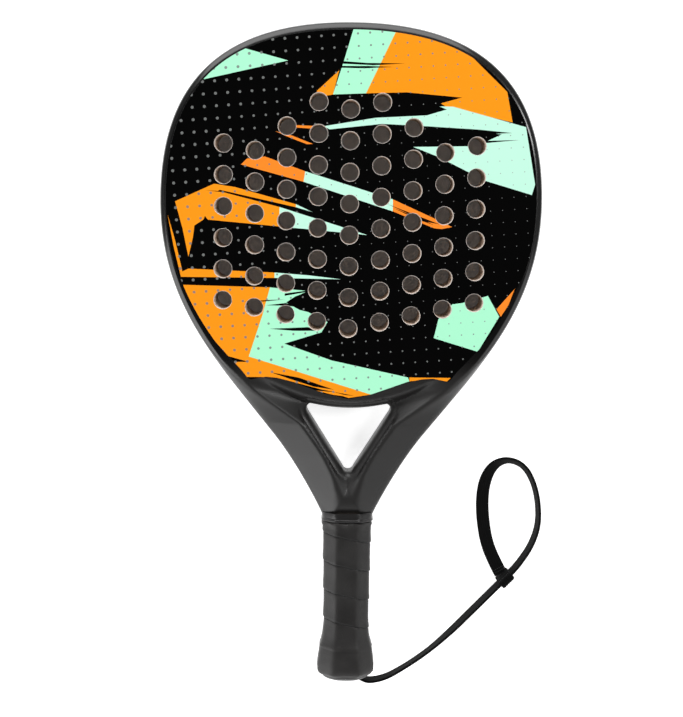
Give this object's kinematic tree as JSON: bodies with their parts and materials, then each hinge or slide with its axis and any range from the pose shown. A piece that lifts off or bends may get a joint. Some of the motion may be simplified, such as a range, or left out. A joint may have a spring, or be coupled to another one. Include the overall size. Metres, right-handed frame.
{
  "type": "padel racket",
  "caption": "Perforated solid-faced padel racket with a foam core in a composite frame, an open throat, a wrapped grip and a wrist strap with a sliding keeper.",
  "frame": {"origin": "on the surface that the racket lies on, below the middle of its length and width, the wrist strap left out", "axes": "+Y from the butt of the handle to the tip of the head, +Z out of the front face, +X to the right seen from the front"},
  "size_m": [0.2656, 0.4579, 0.038],
  "materials": {
    "moulded_composite": "satin black lacquer over fibre composite",
    "filler_foam": "expanded foam, unfinished",
    "core_foam": "fine-celled EVA foam, drilled",
    "face_laminate": "clear lacquer over a printed black laminate",
    "handle_foam": "moulded rigid polyurethane foam",
    "cap_plastic": "moulded black elastomer",
    "screw_steel": "zinc plated",
    "grip_polyurethane": "matt polyurethane over a soft felt backing",
    "band_tape": "glossy elastic tape",
    "strap_webbing": "woven polyester webbing",
    "keeper_webbing": "folded and stitched webbing"
  },
  "bodies": {
    "racket": {"frame_tube": "moulded_composite", "tube_filler": "filler_foam", "throat_bridge": "moulded_composite", "bridge_filler": "filler_foam", "foam_core": "core_foam", "front_skin": "face_laminate", "rear_skin": "face_laminate", "handle_pallet": "handle_foam", "butt_cap": "cap_plastic", "butt_cap_screws": "screw_steel", "grip_tape": "grip_polyurethane", "finishing_tape": "band_tape", "wrist_strap": "strap_webbing", "strap_knot": "strap_webbing"},
    "keeper": {"strap_keeper": "keeper_webbing"}
  },
  "joints": [
    {"name": "keeper_slide", "type": "slide", "parent": "racket", "child": "keeper", "axis": [-0.6952, -0.7188, 0.0047], "range_m": [0, 0.035]}
  ]
}
